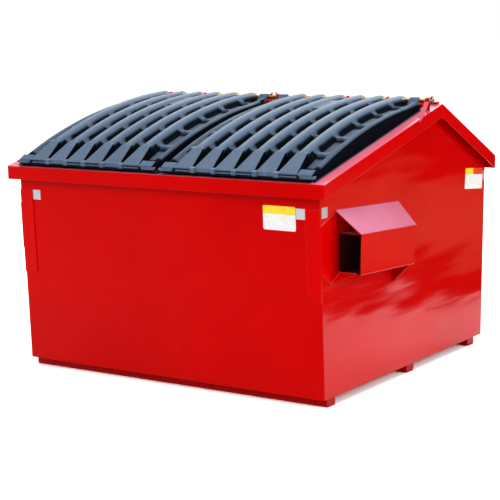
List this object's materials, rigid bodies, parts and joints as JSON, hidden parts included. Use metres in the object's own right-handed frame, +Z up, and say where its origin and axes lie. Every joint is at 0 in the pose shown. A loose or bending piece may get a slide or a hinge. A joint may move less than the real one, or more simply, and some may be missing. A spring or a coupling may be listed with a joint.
{
  "type": "front-load refuse container",
  "caption": "Red steel front-loading refuse container with a peaked top, fork pockets on both sides and ribbed plastic lids that swing back over the ridge.",
  "frame": {"origin": "centre of the overall footprint, on the ground under the skids", "axes": "+X to the right along the front wall, +Y from the front wall towards the rear wall, +Z up"},
  "size_m": [2.089, 1.804, 1.4073],
  "materials": {
    "red_paint": "gloss enamel on steel sheet",
    "lid_plastic": "satin moulded polyethylene",
    "zinc_hardware": "yellow zinc plate",
    "reflective_tape": "silver reflective film",
    "label_plate": "bare vinyl plate with plain colour bands"
  },
  "bodies": {
    "container": {"cotter_pins": "zinc_hardware", "floor_pan": "red_paint", "front_label": "label_plate", "front_sill": "red_paint", "front_skid": "red_paint", "front_wall": "red_paint", "hinge_washers": "zinc_hardware", "left_centre_hinge_lug": "red_paint", "left_corner_guard": "red_paint", "left_fork_pocket": "red_paint", "left_front_gable_rail": "red_paint", "left_front_side_tape": "reflective_tape", "left_front_tape": "reflective_tape", "left_hinge_rod": "zinc_hardware", "left_middle_hinge_lug": "red_paint", "left_outer_hinge_lug": "red_paint", "left_pocket_gusset": "red_paint", "left_pocket_lead_in": "red_paint", "left_pocket_roof": "red_paint", "left_rear_gable_rail": "red_paint", "left_rear_side_tape": "reflective_tape", "left_wall": "red_paint", "middle_skid": "red_paint", "rear_roof": "red_paint", "rear_sill": "red_paint", "rear_skid": "red_paint", "rear_wall": "red_paint", "ridge_beam": "red_paint", "ridge_cap": "red_paint", "right_centre_hinge_lug": "red_paint", "right_corner_guard": "red_paint", "right_fork_pocket": "red_paint", "right_front_gable_rail": "red_paint", "right_front_side_tape": "reflective_tape", "right_front_tape": "reflective_tape", "right_hinge_bracket": "red_paint", "right_hinge_rod": "zinc_hardware", "right_middle_hinge_lug": "red_paint", "right_outer_hinge_lug": "red_paint", "right_pocket_gusset": "red_paint", "right_pocket_lead_in": "red_paint", "right_pocket_roof": "red_paint", "right_rear_gable_rail": "red_paint", "right_rear_side_tape": "reflective_tape", "right_wall": "red_paint", "side_label": "label_plate", "skid_end_caps": "red_paint"},
    "left_lid": {"left_lid": "lid_plastic"},
    "right_lid": {"right_lid": "lid_plastic"}
  },
  "joints": [
    {"name": "left_lid_hinge", "type": "hinge", "parent": "container", "child": "left_lid", "pos_m": [-0.4585, 0.16972, 1.38428], "axis": [-1, 0, 0], "range_deg": [0, 180]},
    {"name": "right_lid_hinge", "type": "hinge", "parent": "container", "child": "right_lid", "pos_m": [0.4585, 0.16972, 1.38428], "axis": [-1, 0, 0], "range_deg": [0, 180]}
  ]
}
